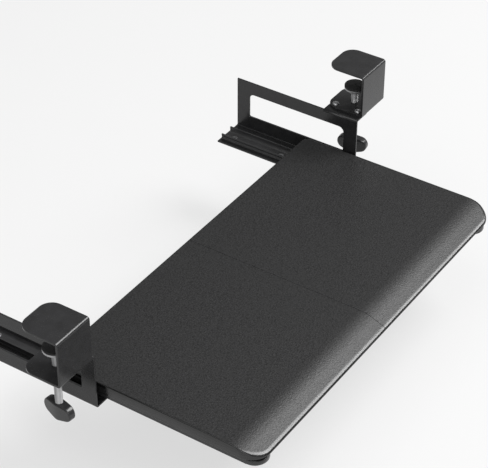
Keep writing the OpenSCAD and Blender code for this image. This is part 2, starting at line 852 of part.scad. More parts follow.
module left_wing_knob() { color(black_plastic) on_left() wing_knob(); }
module right_wing_knob() { color(black_plastic) wing_knob(); }
module left_knob_pin() { color(zinc) on_left() knob_pin(); }
module right_knob_pin() { color(zinc) knob_pin(); }

left_clamp_bracket();
right_clamp_bracket();
left_jaw_pad();
right_jaw_pad();
left_clamp_nut();
right_clamp_nut();
left_arm();
right_arm();
left_arm_bolts();
right_arm_bolts();
left_arm_nuts();
right_arm_nuts();
left_fixed_rail();
right_fixed_rail();
left_rail_screws();
right_rail_screws();
left_rail_nuts();
right_rail_nuts();
left_rail_stop();
right_rail_stop();
left_board();
right_board();
seam_dowels();
front_joiner_plate();
rear_joiner_plate();
joiner_screws();
left_runner();
right_runner();
left_runner_tab();
right_runner_tab();
left_runner_cap();
right_runner_cap();
left_runner_screws();
right_runner_screws();
left_cap_screw();
right_cap_screw();
left_ball_cage();
right_ball_cage();
left_balls();
right_balls();
left_pressure_cup();
right_pressure_cup();
left_pressure_pad();
right_pressure_pad();
left_clamp_screw();
right_clamp_screw();
left_screw_clip();
right_screw_clip();
left_wing_knob();
right_wing_knob();
left_knob_pin();
right_knob_pin();
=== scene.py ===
# Clamp-on sliding tray: surfaces, finishes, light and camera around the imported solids
import json
import math

import bmesh
import bpy
import numpy as np
from mathutils import Matrix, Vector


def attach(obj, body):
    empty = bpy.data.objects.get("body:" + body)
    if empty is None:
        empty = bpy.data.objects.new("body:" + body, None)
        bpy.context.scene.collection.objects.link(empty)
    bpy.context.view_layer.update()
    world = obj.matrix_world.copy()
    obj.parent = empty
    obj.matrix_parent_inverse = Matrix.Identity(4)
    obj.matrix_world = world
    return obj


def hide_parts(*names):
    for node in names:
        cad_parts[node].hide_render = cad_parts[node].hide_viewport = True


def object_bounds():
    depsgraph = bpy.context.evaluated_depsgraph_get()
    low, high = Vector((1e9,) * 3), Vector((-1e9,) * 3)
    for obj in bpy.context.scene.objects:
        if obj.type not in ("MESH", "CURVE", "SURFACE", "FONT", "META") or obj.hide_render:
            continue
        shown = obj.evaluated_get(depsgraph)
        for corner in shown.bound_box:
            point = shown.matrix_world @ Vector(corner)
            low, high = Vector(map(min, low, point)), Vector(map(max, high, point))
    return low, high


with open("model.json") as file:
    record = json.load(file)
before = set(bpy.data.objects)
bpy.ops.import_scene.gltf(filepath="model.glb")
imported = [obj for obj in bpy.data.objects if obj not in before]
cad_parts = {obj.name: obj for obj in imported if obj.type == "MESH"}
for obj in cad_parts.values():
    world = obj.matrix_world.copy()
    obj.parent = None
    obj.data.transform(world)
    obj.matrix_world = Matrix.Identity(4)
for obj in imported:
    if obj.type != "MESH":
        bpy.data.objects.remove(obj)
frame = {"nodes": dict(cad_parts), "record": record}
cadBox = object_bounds()
mm = 0.001  # shapes are worked out in millimetres and put into the meshes in metres
sides = {"left": -1, "right": 1}
bodies = frame["record"]["behaviour"]["bodies"]
bodyOf = {node: body for body, nodes in bodies.items() for node in nodes}
slotOf = {part["node"]: part["material_slot"] for part in frame["record"]["subparts"]}

# Camera: fitted to the tray's straight edges in the 488 x 468 frame, so its pixels fall where the photograph's do
shot = {"azimuth": -56.45, "elevation": 37.12, "roll": 0.2, "focalPixels": 1785.0, "frameWidth": 488,
        "place": (-1515.9, -942.6, 1422.6), "sensor": 36.0, "near": 0.05, "far": 60.0}


def aimCamera():  # axes: the way back from the tray, a level line across it, and the line upright on both, rolled
    azimuth, elevation, roll = (math.radians(shot[name]) for name in ("azimuth", "elevation", "roll"))
    level = math.cos(elevation)
    back = np.array([math.sin(azimuth) * level, -math.cos(azimuth) * level, math.sin(elevation)])
    across = np.cross([0, 0, 1], back)
    across /= np.linalg.norm(across)
    upright = np.cross(back, across)
    right = math.cos(roll) * across + math.sin(roll) * upright
    up = math.cos(roll) * upright - math.sin(roll) * across
    lens = bpy.data.cameras.new("photoCamera")
    lens.sensor_fit = "HORIZONTAL"
    lens.sensor_width = shot["sensor"]
    lens.lens = shot["focalPixels"] / shot["frameWidth"] * shot["sensor"]
    lens.clip_start, lens.clip_end = shot["near"], shot["far"]
    camera = bpy.data.objects.new("photoCamera", lens)
    bpy.context.scene.collection.objects.link(camera)
    turn = Matrix(np.stack([right, up, back], axis=1).tolist()).to_4x4()
    camera.matrix_world = Matrix.Translation([v * mm for v in shot["place"]]) @ turn
    bpy.context.scene.camera = camera


aimCamera()
print("camera in place")

# Finishes, each one a node tree on Object coordinates, in metres


def newFinish(name):
    finish = bpy.data.materials.new(name)
    finish.use_nodes = True
    tree = finish.node_tree
    place = tree.nodes.new("ShaderNodeTexCoord").outputs["Object"]
    return finish, tree, tree.nodes["Principled BSDF"], place


def stretch(tree, place, scale):  # a pattern drawn out along the axes with the smaller numbers
    node = tree.nodes.new("ShaderNodeMapping")
    node.inputs["Scale"].default_value = scale
    tree.links.new(place, node.inputs["Vector"])
    return node.outputs["Vector"]


def noise(tree, place, scale, detail, rough=0.55):
    node = tree.nodes.new("ShaderNodeTexNoise")
    node.inputs["Scale"].default_value = scale
    node.inputs["Detail"].default_value = detail
    node.inputs["Roughness"].default_value = rough
    tree.links.new(place, node.inputs["Vector"])
    return node.outputs["Fac"]


def cells(tree, place, scale):
    node = tree.nodes.new("ShaderNodeTexVoronoi")
    node.feature = "SMOOTH_F1"
    node.inputs["Scale"].default_value = scale
    tree.links.new(place, node.inputs["Vector"])
    return node.outputs["Distance"]


def spread(tree, value, ends, middle=(0.3, 0.7)):  # a pattern's middle range made into a number's range
    node = tree.nodes.new("ShaderNodeMapRange")
    for name, number in zip(("From Min", "From Max", "To Min", "To Max"), (*middle, *ends)):
        node.inputs[name].default_value = number
    tree.links.new(value, node.inputs["Value"])
    return node.outputs["Result"]


def tint(tree, value, low, high, middle=(0.3, 0.7)):  # a pattern's middle range made into a colour between two
    node = tree.nodes.new("ShaderNodeValToRGB")
    for stop, place, color in zip(node.color_ramp.elements, middle, (low, high)):
        stop.position = place
        stop.color = (*color, 1)
    tree.links.new(value, node.inputs["Fac"])
    return node.outputs["Color"]


def mixed(tree, a, b, share):  # each of the three is a pattern or a plain number
    node = tree.nodes.new("ShaderNodeMix")
    for name, value in (("A", a), ("B", b), ("Factor", share)):
        if isinstance(value, float):
            node.inputs[name].default_value = value
        else:
            tree.links.new(value, node.inputs[name])
    return node.outputs["Result"]


def relief(tree, shader, height, look):  # depth in millimetres
    node = tree.nodes.new("ShaderNodeBump")
    node.inputs["Strength"].default_value = look["strength"]
    node.inputs["Distance"].default_value = look["depth"] * mm
    tree.links.new(height, node.inputs["Height"])
    tree.links.new(node.outputs["Normal"], shader.inputs["Normal"])


def dress(tree, shader, look, color, rough, height):  # one pattern each for the colour, the gloss and the relief
    tree.links.new(tint(tree, color, look["dark"], look["light"]), shader.inputs["Base Color"])
    tree.links.new(spread(tree, rough, look["rough"]), shader.inputs["Roughness"])
    relief(tree, shader, height, look)


def blackFilm():  # fine pebbled film over the boards, drawn smooth and a little streaked round their edges
    look = {"dark": (0.003, 0.003, 0.003), "light": (0.027, 0.027, 0.0275), "tintRange": (0.3, 0.6),
            "rough": (0.43, 0.48), "edgeRough": 0.24, "pebble": 780, "clump": 460, "clumpShare": 0.6,
            "streak": 420, "streakDrawn": (0.02, 0.02, 1), "edgeHeight": 0.45, "pebbleLeft": 0.2,
            "depth": 0.55, "strength": 0.9}
    finish, tree, shader, place = newFinish("blackFilm")
    edge = tree.nodes.new("ShaderNodeAttribute")
    edge.attribute_name = "tight"
    tight = edge.outputs["Fac"]
    clump = noise(tree, place, look["clump"], detail=4)
    height = mixed(tree, cells(tree, place, look["pebble"]), clump, look["clumpShare"])
    streak = noise(tree, stretch(tree, place, look["streakDrawn"]), look["streak"], detail=3)
    shade = tint(tree, mixed(tree, height, streak, tight), look["light"], look["dark"], look["tintRange"])
    tree.links.new(shade, shader.inputs["Base Color"])
    rough = mixed(tree, spread(tree, clump, look["rough"]), look["edgeRough"], tight)
    tree.links.new(rough, shader.inputs["Roughness"])
    drawn = mixed(tree, height, look["edgeHeight"], tight)
    relief(tree, shader, mixed(tree, drawn, height, look["pebbleLeft"]), look)
    return finish


def powderCoat():  # satin black with a faint orange peel
    look = {"dark": (0.018, 0.018, 0.0185), "light": (0.026, 0.026, 0.027), "rough": (0.22, 0.28), "specular": 0.4,
            "patch": 90, "peel": 620, "grain": 2400, "grainShare": 0.4, "depth": 0.03, "strength": 0.6}
    finish, tree, shader, place = newFinish("powderCoat")
    patch = noise(tree, place, look["patch"], detail=5)
    peel = noise(tree, place, look["peel"], detail=2)
    grain = noise(tree, place, look["grain"], detail=2)
    dress(tree, shader, look, patch, peel, mixed(tree, peel, grain, look["grainShare"]))
    shader.inputs["Specular IOR Level"].default_value = look["specular"]
    return finish


def slideCoat():  # thin black coat on rolled steel, with the rolling's lines along Y
    look = {"dark": (0.020, 0.020, 0.021), "light": (0.034, 0.034, 0.035), "rough": (0.34, 0.46), "lines": 1300,
            "drawn": (1, 0.03, 1), "patch": 60, "patchShare": 0.5, "depth": 0.02, "strength": 0.5}
    finish, tree, shader, place = newFinish("slideCoat")
    lines = noise(tree, stretch(tree, place, look["drawn"]), look["lines"], detail=3)
    patch = noise(tree, place, look["patch"], detail=4)
    dress(tree, shader, look, mixed(tree, lines, patch, look["patchShare"]), lines, lines)
    return finish


def blackRubber():  # matt, with a cloudy bloom
    look = {"dark": (0.013, 0.013, 0.013), "light": (0.022, 0.022, 0.022), "rough": (0.72, 0.86), "bloom": 120,
            "grain": 1800, "depth": 0.04, "strength": 0.5}
    finish, tree, shader, place = newFinish("blackRubber")
    bloom = noise(tree, place, look["bloom"], detail=5)
    dress(tree, shader, look, bloom, bloom, noise(tree, place, look["grain"], detail=3))
    return finish


def blackPlastic():  # moulded, with the fine matt of an eroded mould
    look = {"dark": (0.023, 0.023, 0.024), "light": (0.031, 0.031, 0.032), "rough": (0.20, 0.28), "flow": 70,
            "sparks": 2600, "depth": 0.02, "strength": 0.5}
    finish, tree, shader, place = newFinish("blackPlastic")
    sparks = noise(tree, place, look["sparks"], detail=3)
    dress(tree, shader, look, noise(tree, place, look["flow"], detail=3), sparks, sparks)
    return finish


def brightSteel():  # bare turned steel, with fine tool lines round the axis
    look = {"dark": (0.47, 0.47, 0.48), "light": (0.62, 0.62, 0.62), "rough": (0.50, 0.60), "lines": 3000,
            "drawn": (0.06, 0.06, 1), "stain": 140, "stainShare": 0.5, "depth": 0.01, "strength": 0.4}
    finish, tree, shader, place = newFinish("brightSteel")
    lines = noise(tree, stretch(tree, place, look["drawn"]), look["lines"], detail=2)
    stain = noise(tree, place, look["stain"], detail=5)
    dress(tree, shader, look, mixed(tree, lines, stain, look["stainShare"]), stain, lines)
    shader.inputs["Metallic"].default_value = 1.0
    return finish


def zincPlate():  # plated fasteners, a little cloudy
    look = {"dark": (0.40, 0.41, 0.42), "light": (0.56, 0.56, 0.56), "rough": (0.28, 0.42), "cloud": 420,
            "grain": 2600, "depth": 0.012, "strength": 0.4}
    finish, tree, shader, place = newFinish("zincPlate")
    cloud = noise(tree, place, look["cloud"], detail=5)
    dress(tree, shader, look, cloud, cloud, noise(tree, place, look["grain"], detail=2))
    shader.inputs["Metallic"].default_value = 1.0
    return finish


def beechWood():  # fibres along X, as the dowels lie
    look = {"dark": (0.42, 0.26, 0.14), "light": (0.66, 0.47, 0.29), "rough": (0.55, 0.7), "fibre": 1100,
            "drawn": (0.05, 1, 1), "depth": 0.05, "strength": 0.5}
    finish, tree, shader, place = newFinish("beechWood")
    fibre = noise(tree, stretch(tree, place, look["drawn"]), look["fibre"], detail=4)
    dress(tree, shader, look, fibre, fibre, fibre)
    return finish


finishOf = {"powder_coat": powderCoat(), "slide_steel": slideCoat(), "board_film": blackFilm(),
            "rubber": blackRubber(), "knob_plastic": blackPlastic(), "bare_steel": brightSteel(),
            "zinc": zincPlate(), "beech": beechWood()}
for node, solid in frame["nodes"].items():  # what stays a plain solid still has its finish
    solid.data.materials.clear()
    solid.data.materials.append(finishOf[slotOf[node]])
print("finishes ready:", len(finishOf))

# Surfaces: points come as arrays of rows and columns, and faces as their index quads. Welds are in metres, and angles
# in degrees
weld = {"points": 1e-6, "slivers": 1e-7, "solids": 2e-6, "flat": 0.4, "cusp": 20.0, "corner": 40.0}


def gridFaces(rows, cols, closeRows=False, closeCols=False):  # each point with its neighbours across and down
    i, j = np.meshgrid(np.arange(rows if closeRows else rows - 1), np.arange(cols if closeCols else cols - 1),
                       indexing="ij")
    down, across = (i + 1) % rows, (j + 1) % cols
    corners = [i * cols + j, i * cols + across, down * cols + across, down * cols + j]
    return np.stack(corners, -1).reshape(-1, 4)


def joined(parts):  # several point and face arrays made into one
    starts = np.cumsum([0] + [len(points) for points, _ in parts])
    return (np.concatenate([points for points, _ in parts]),
            np.concatenate([faces + start for (_, faces), start in zip(parts, starts)]))


def copies(part, places):  # one shape at several places
    points, faces = part
    return joined([(points + np.array(place), faces) for place in places])


def mirroredTo(part, side):  # drawn on the right, turned over for the left
    points, faces = part
    return points * np.array([side, 1, 1]), faces


def facingDown(part):  # the same shape with its outer end below
    points, faces = part
    return points * np.array([1, -1, -1]), faces


def pointsOf(mesh):  # a mesh's points in millimetres
    flat = np.empty(3 * len(mesh.vertices))
    mesh.vertices.foreach_get("co", flat)
    return flat.reshape(-1, 3) / mm


def pieceName(node):  # left_wing_knob gives leftWingKnob
    first, *others = node.split("_")
    return first + "".join(word.title() for word in others)


def addPiece(mesh, node, sharp):  # faces meet smoothly below the sharp angle
    mesh.shade_smooth()
    mesh.set_sharp_from_angle(angle=math.radians(sharp))
    mesh.materials.clear()
    mesh.materials.append(finishOf[slotOf[node]])
    piece = bpy.data.objects.new(pieceName(node), mesh)
    bpy.context.scene.collection.objects.link(piece)
    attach(piece, bodyOf[node])
    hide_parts(node)
    return piece


def surfacePiece(part, node, sharp=40):  # poles and seams merged, faces turned outwards
    points, faces = part
    mesh = bpy.data.meshes.new(pieceName(node))
    mesh.from_pydata((points * mm).tolist(), [], faces.tolist())
    shell = bmesh.new()
    shell.from_mesh(mesh)
    bmesh.ops.remove_doubles(shell, verts=shell.verts, dist=weld["points"])
    bmesh.ops.dissolve_degenerate(shell, edges=shell.edges, dist=weld["slivers"])
    bmesh.ops.recalc_face_normals(shell, faces=shell.faces)
    shell.to_mesh(mesh)
    shell.free()
    return addPiece(mesh, node, sharp)


def softened(node, edge, segments=3):  # a copy of the solid with its edges rounded, for sheet parts with holes
    flat, cusp, corner = (math.radians(weld[name]) for name in ("flat", "cusp", "corner"))
    shell = bmesh.new()
    shell.from_mesh(frame["nodes"][node].data)
    bmesh.ops.remove_doubles(shell, verts=shell.verts, dist=weld["solids"])
    bmesh.ops.dissolve_limit(shell, angle_limit=flat, verts=shell.verts, edges=shell.edges)
    weight = shell.edges.layers.float.new("bevel_weight_edge")
    for line in shell.edges:  # outer corners alone, and none that runs into the point of a sliver of a face
        thin = any(loop.calc_angle() < cusp for vertex in line.verts for loop in vertex.link_loops)
        line[weight] = float(line.is_convex and line.calc_face_angle(0) > corner and not thin)
    mesh = bpy.data.meshes.new(pieceName(node))
    shell.to_mesh(mesh)
    shell.free()
    piece = addPiece(mesh, node, weld["corner"])
    rounding = piece.modifiers.new("edge", "BEVEL")
    rounding.width = edge * mm
    rounding.segments = segments
    rounding.limit_method = "WEIGHT"
    rounding.use_clamp_overlap = False
    rounding.harden_normals = True
    return piece


def slab(xs, ys, top, bottom, lowXs=None):  # a block between two sheets over one plan, with a strip round its border
    rows, cols = xs.shape
    size = rows * cols
    index = np.arange(size).reshape(rows, cols)
    border = np.concatenate([index[0, :-1], index[:-1, -1], index[-1, :0:-1], index[:0:-1, 0]])
    after = np.roll(border, -1)
    strip = np.stack([border, after, after + size, border + size], -1)
    faces = gridFaces(rows, cols)
    plans = ((xs, top), (xs if lowXs is None else lowXs, bottom))
    points = np.concatenate([np.stack([x, ys, z], -1).reshape(-1, 3) for x, z in plans])
    return points, np.concatenate([faces, faces[:, ::-1] + size, strip])


def edgeDrop(distance, radius, run=None):  # how far a round edge lies below its flat, so far in from the outline
    inside = np.clip(1 - distance / (radius if run is None else run), 0, 1)  # with a run, it is an ellipse's edge
    return radius * (1 - np.sqrt(1 - inside ** 2))


def ringAngles(steps):
    return np.arange(steps) * (2 * math.pi / steps)


def turnedPart(rows, steps, closeRows=False):  # rings about Z: each row is a radius, or radii round it, and a height
    angle = ringAngles(steps)
    radius = np.stack([np.broadcast_to(r, steps) for r, _ in rows])
    height = np.stack([np.full(steps, z) for _, z in rows])
    points = np.stack([radius * np.cos(angle), radius * np.sin(angle), height], -1)
    return points.reshape(-1, 3), gridFaces(len(rows), steps, closeRows, True)


def hexRing(across, steps, limit=math.inf):  # a hexagon's radius round the ring, corners on +X, cut by a circle
    sixth = math.pi / 3
    return np.minimum(across / 2 / np.cos(np.mod(ringAngles(steps), sixth) - sixth / 2), limit)


def crossRing(wide, narrow, steps, power=8):  # four arms: a narrow core and a sharp swell every quarter turn
    return narrow + (wide - narrow) * np.cos(2 * ringAngles(steps)) ** power


def roundSteps(radius, count=5):  # offsets of a quarter round, from its start to its end
    angle = np.linspace(0, math.pi / 2, count)
    return radius * np.sin(angle), radius * (1 - np.cos(angle))


# Boards: a flat top that bends into a ramp and falls to the lip. Height is a function of the place in plan, less the
# drop of the round edge at that distance from the outline
board = {"seam": 0.15, "end": 290.0, "lip": -150.0, "back": 150.0, "thick": 15.0, "frontRadius": 28.0,
         "backRadius": 10.0, "bend": -109.0, "bendRadius": 63.0, "slope": 22.5, "edge": 1.2, "lipRun": 1.9,
         "lipEdge": 1.3, "lipFade": 8.0, "facet": 4.1, "facetFall": 0.21, "facetEase": 0.8, "seamEdge": 0.35,
         "lowEdge": 0.7, "smooth": 1.0, "frontRows": 46, "bendRows": 9, "flatRows": 14, "backRows": 15,
         "pastBend": 2.0, "flatFrom": 10.0, "flatTo": 2.0, "columns": 16,
         "nearSeam": (0, 0.03, 0.1, 0.2, 0.35, 0.6, 1.5, 4),
         "nearEnd": (36, 24, 15, 10, 7, 5.4, 4.2, 3.4, 2.7, 2.1, 1.6, 1.2, 0.85, 0.55, 0.3, 0.12, 0.03, 0)}


def boardTop(y):  # flat, then an arc, then the straight ramp that leaves the arc at its slope
    slope = math.radians(board["slope"])
    radius = board["bendRadius"]
    along = np.clip(board["bend"] - y, 0, radius * math.sin(slope))
    beyond = np.clip(board["bend"] - radius * math.sin(slope) - y, 0, None)
    return np.sqrt(radius ** 2 - along ** 2) - radius - beyond * math.tan(slope)


def boardInset(xs, ys):  # distance in from the plan's outline, whose corners are round
    b = board
    inset = np.minimum(np.minimum(b["end"] - xs, ys - b["lip"]), b["back"] - ys)
    for radius, cornerY, way in ((b["frontRadius"], b["lip"], 1), (b["backRadius"], b["back"], -1)):
        dx, dy = xs - (b["end"] - radius), way * (cornerY + way * radius - ys)
        inset = np.where((dx > 0) & (dy > 0), radius - np.hypot(dx, dy), inset)
    return np.clip(inset, 0, None)


def lipShare(ys):  # 1 along the lip, easing to 0 where the round corners have become the ends
    b = board
    share = np.clip((b["lip"] + b["frontRadius"] + b["lipFade"] - ys) / b["frontRadius"], 0, 1)
    return share ** 2 * (3 - 2 * share)


def topDrop(inset, ys):  # an ellipse's edge, and along the lip a facet that falls in a straight line before it
    b = board
    share = lipShare(ys)
    inside, ease = b["facet"] - inset, b["facetEase"]
    facet = np.where(np.abs(inside) < ease, (inside + ease) ** 2 / (4 * ease), np.clip(inside, 0, None))
    depth, run = (b["edge"] + (b[to] - b["edge"]) * share for to in ("lipEdge", "lipRun"))
    return edgeDrop(inset, depth, run) + b["facetFall"] * facet * share


def boardShape():  # rows follow the round corners in and out, columns crowd together at the seam and at the end
    b = board
    front, back = np.radians(np.linspace(0, 90, b["frontRows"])), np.radians(np.linspace(90, 0, b["backRows"]))
    frontY, frontX = b["lip"] + b["frontRadius"] * (1 - np.cos(front)), b["frontRadius"] * (np.sin(front) - 1)
    backY, backX = b["back"] - b["backRadius"] * (1 - np.cos(back)), b["backRadius"] * (np.sin(back) - 1)
    bendY = np.linspace(frontY[-1], b["bend"] + b["pastBend"], b["bendRows"])[1:]
    flatY = np.linspace(b["bend"] + b["flatFrom"], backY[0] - b["flatTo"], b["flatRows"])
    y = np.concatenate([frontY, bendY, flatY, backY])
    reach = b["end"] + np.concatenate([frontX, np.zeros(len(bendY) + len(flatY)), backX])
    right = reach[:, None] - np.array(b["nearEnd"])
    left = np.broadcast_to(b["seam"] + np.array(b["nearSeam"]), (len(y), len(b["nearSeam"])))
    middle = np.linspace(0, 1, b["columns"])[1:-1]
    xs = np.concatenate([left, left[:, -1:] + (right[:, :1] - left[:, -1:]) * middle, right], axis=1)
    ys = np.broadcast_to(y[:, None], xs.shape)
    inset, seamDrop = boardInset(xs, ys), edgeDrop(xs - b["seam"], b["seamEdge"])
    top = boardTop(ys) - topDrop(inset, ys) - seamDrop
    low = -b["thick"] + edgeDrop(inset, b["lowEdge"]) + seamDrop
    lowXs = xs.copy()
    lowXs[:, 0] = 0  # the halves lean together below, so the seam is a groove that shows no light
    return slab(xs, ys, top, low, lowXs)


def boardTight(points):  # 1 where the film is pulled smooth: round the edges, and as far in as the facet at the lip
    b = board
    pulled = b["edge"] + (b["facet"] - b["edge"]) * lipShare(points[:, 1])
    inset = boardInset(np.abs(points[:, 0]), points[:, 1])
    return np.clip(1 + (pulled - inset) / b["smooth"], 0, 1).astype(np.float32)


for name, side in sides.items():
    mesh = surfacePiece(mirroredTo(boardShape(), side), name + "_board").data
    mesh.attributes.new("tight", "FLOAT", "POINT").data.foreach_set("value", boardTight(pointsOf(mesh)))
print("boards made")

# Sheet parts: the solids have the bends, windows and holes, and only their edges are eased
sheetEdge = {"clamp_bracket": 0.5, "arm": 0.4, "fixed_rail": 0.25, "runner": 0.3, "runner_tab": 0.3,
             "rail_stop": 0.5, "ball_cage": 0.15}
joinerEdge = 0.35
for name in sides:
    for part, edge in sheetEdge.items():
        softened(name + "_" + part, edge)
for end in ("front", "rear"):
    softened(end + "_joiner_plate", joinerEdge)
print("sheet parts eased")

# Clamp screw: a rod whose radius dips along a helix, one pitch a turn, with a plain tip and foot
rod = {"x": 337.0, "y": 100.0, "foot": -26.4, "hub": -12.9, "shoulder": 70.1, "top": 75.1, "radius": 4.85, "tip": 4.0,
       "footEase": 1.0, "ease": 0.5, "afterHub": 0.4, "belowShoulder": 0.8, "pitch": 1.5, "threadDepth": 0.55,
       "threadStep": 0.15, "threadFade": 1.6, "steps": 44}


def threadRows(low, high, radius, screw):  # the radius less a wave of the height less the turn, faded at its ends
    z = np.arange(low, high, screw["threadStep"])
    wave = 0.5 - 0.5 * np.cos(2 * math.pi * z[:, None] / screw["pitch"] - ringAngles(screw["steps"]))
    ease = np.clip(np.minimum(z - low, high - z) / screw["threadFade"], 0, 1)[:, None]
    return list(zip(radius - screw["threadDepth"] * ease * wave, z))


def screwShape():  # turned from its foot up: chamfer, thread, shoulder and thinner tip
    r = rod
    radius, ease = r["radius"], r["ease"]
    rows = [(0, r["foot"]), (radius - r["footEase"], r["foot"]), (radius, r["foot"] + r["footEase"])]
    rows += threadRows(r["hub"] + r["afterHub"], r["shoulder"] - r["belowShoulder"], radius, r)
    rows += [(radius, r["shoulder"] - ease), (radius - ease, r["shoulder"]), (r["tip"], r["shoulder"]),
             (r["tip"], r["top"] - ease), (r["tip"] - ease, r["top"]), (0, r["top"])]
    return turnedPart(rows, r["steps"])


# Wing knob: a flat moulding over the plan that a cord drawn round two lobes and a belly would show. Along each
# direction the cord lies as far out as the furthest circle, so a point is as deep inside as its least distance to
# those touching lines. Half the thickness falls in a straight line from the hub's ridge to the ends, less the drop of
# a round edge. Each circle is its place along and up the knob, and its radius
knob = {"mark": -12.9, "circles": ((-12.25, -3.4, 10.25), (12.25, -3.4, 10.25), (0.0, -7.0, 10.5)), "end": 22.5,
        "turn": 8.0, "ridge": 7.0, "tip": 4.9, "ease": 5.0, "edge": 1.9, "ways": 720, "everyWay": 4, "columns": 75,
        "rows": 44}


def knobShape():
    k = knob
    angles = (np.arange(k["ways"]) + 0.5) * (2 * math.pi / k["ways"])
    ways = np.stack([np.cos(angles), np.sin(angles)], -1)
    reach = np.max([ways @ np.array([u, w]) + radius for u, w, radius in k["circles"]], axis=0)
    u = k["end"] * np.sin(np.linspace(-math.pi / 2, math.pi / 2, k["columns"]))
    edges = (reach[:, None] - ways[:, :1] * u) / ways[:, 1:]  # where each touching line crosses the column at u
    high, low = edges[ways[:, 1] > 0].min(0), edges[ways[:, 1] < 0].max(0)
    share = 0.5 - 0.5 * np.cos(np.linspace(0, math.pi, k["rows"]))[:, None]
    w = low + (high - low) * share
    us = np.broadcast_to(u, w.shape)
    lines = zip(ways[::k["everyWay"]], reach[::k["everyWay"]])
    inset = np.clip(np.min([far - way[0] * us - way[1] * w for way, far in lines], axis=0), 0, None)
    inset[[0, -1]], inset[:, [0, -1]] = 0, 0
    ridge = np.sqrt(us ** 2 + k["ease"] ** 2) - k["ease"]  # distance from the ridge, rounded over it
    half = k["ridge"] - (k["ridge"] - k["tip"]) * ridge / (k["end"] - k["ease"]) - edgeDrop(inset, k["edge"])
    return slab(us, w, half, -half)


def standing(part):  # a shape drawn flat, stood up on the screw's axis and turned to where the knob rests
    points, faces = part
    turn = math.radians(knob["turn"])
    x = points[:, 2] * math.cos(turn) - points[:, 0] * math.sin(turn)
    y = points[:, 2] * math.sin(turn) + points[:, 0] * math.cos(turn)
    return np.stack([rod["x"] + x, rod["y"] + y, knob["mark"] + points[:, 1]], -1), faces


# Pressure cup and pad: turned shapes with eased corners, and shallow rings in the rubber
cup = {"low": 70.2, "collarHigh": 75.2, "high": 78.2, "collar": 9.0, "radius": 15.0, "bore": 4.05, "hollow": 6.6,
       "floor": 72.7, "ease": 0.6, "easeMiddle": 0.12, "fillet": 0.4, "steps": 64}
pad = {"high": 81.2, "ringDepth": 0.45, "ringPitch": 2.6, "ringEdge": 1.4, "ringRows": 70, "edge": 0.9,
       "lowEdge": 0.3, "steps": 72}


def easedCorner(radius, low):  # three rings round a lower outer corner
    ease, middle = cup["ease"], cup["easeMiddle"]
    return [(radius - ease, low), (radius - middle, low + middle), (radius, low + ease)]


def cupShape():  # a collar round the screw's tip that widens to a dish, carried once round with a hollow inside
    c = cup
    rows = [(c["bore"], c["floor"]), (c["bore"], c["low"])] + easedCorner(c["collar"], c["low"])
    rows += [(c["collar"], c["collarHigh"] - c["fillet"]), (c["collar"] + c["fillet"], c["collarHigh"])]
    rows += easedCorner(c["radius"], c["collarHigh"])
    rows += [(c["radius"], c["high"]), (c["hollow"], c["high"]), (c["hollow"], c["floor"])]
    return turnedPart(rows, c["steps"], True)


def padShape():  # the face dips in rings: depth times the upper half of a cosine of the radius
    p = pad
    outer, low = cup["radius"], cup["high"]
    radius = np.linspace(0, outer - p["ringEdge"], p["ringRows"])
    dip = p["ringDepth"] * np.clip(-np.cos(2 * math.pi * radius / p["ringPitch"]), 0, 1)
    out, fall = roundSteps(p["edge"])
    rows = list(zip(radius, p["high"] - dip))
    rows += list(zip(outer - p["edge"] + out, p["high"] - fall))
    rows += [(outer, low + p["lowEdge"]), (outer - p["lowEdge"], low), (0, low)]
    return turnedPart(rows, p["steps"])


# Jaw pad: rubber under the clamp's top plate, round at its back corners, ribbed across below
jaw = {"x": 337.0, "half": 25.0, "front": 75.0, "back": 125.0, "radius": 13.0, "low": 112.4, "high": 114.2,
       "rib": 3.0, "ribDepth": 0.5, "ribInset": 2.0, "edge": 0.5, "rows": 120, "cornerRows": 20, "columns": 12,
       "edgeColumns": 6, "edgeShare": 0.04}


def jawShape():  # a slab whose underside rises by the upper half of a cosine along Y, but not near its border
    j = jaw
    turn = np.radians(np.linspace(90, 0, j["cornerRows"]))[1:]
    plain = np.linspace(j["front"], j["back"] - j["radius"], j["rows"])
    y = np.concatenate([plain, j["back"] - j["radius"] + j["radius"] * np.cos(turn)])
    half = np.concatenate([np.full(len(plain), j["half"]), j["half"] - j["radius"] + j["radius"] * np.sin(turn)])
    rim = j["edgeShare"]
    share = np.concatenate([np.linspace(0, rim, j["edgeColumns"]), np.linspace(2 * rim, 1 - 2 * rim, j["columns"]),
                            np.linspace(1 - rim, 1, j["edgeColumns"])]) * 2 - 1
    xs = j["x"] + half[:, None] * share
    ys = np.broadcast_to(y[:, None], xs.shape)
    inset = np.minimum(half[:, None] * (1 - np.abs(share)), np.minimum(ys - j["front"], j["back"] - ys))
    inset = np.clip(inset, 0, None)
    wave = np.clip(np.cos(2 * math.pi * (ys - j["front"]) / j["rib"]), 0, 1)
    groove = j["ribDepth"] * wave * np.clip(inset - j["ribInset"], 0, 1)
    return slab(xs, ys, np.full(xs.shape, j["high"]), j["low"] + edgeDrop(inset, j["edge"]) + groove)


for name, side in sides.items():
    axis = np.array([side * rod["x"], rod["y"], 0])
    for node, (points, faces) in (("_clamp_screw", screwShape()), ("_pressure_cup", cupShape()),
                                  ("_pressure_pad", padShape())):
        surfacePiece((points + axis, faces), name + node)
    surfacePiece(mirroredTo(standing(knobShape()), side), name + "_wing_knob", sharp=50)
    surfacePiece(mirroredTo(jawShape(), side), name + "_jaw_pad")
print("screws, knobs and pads made")

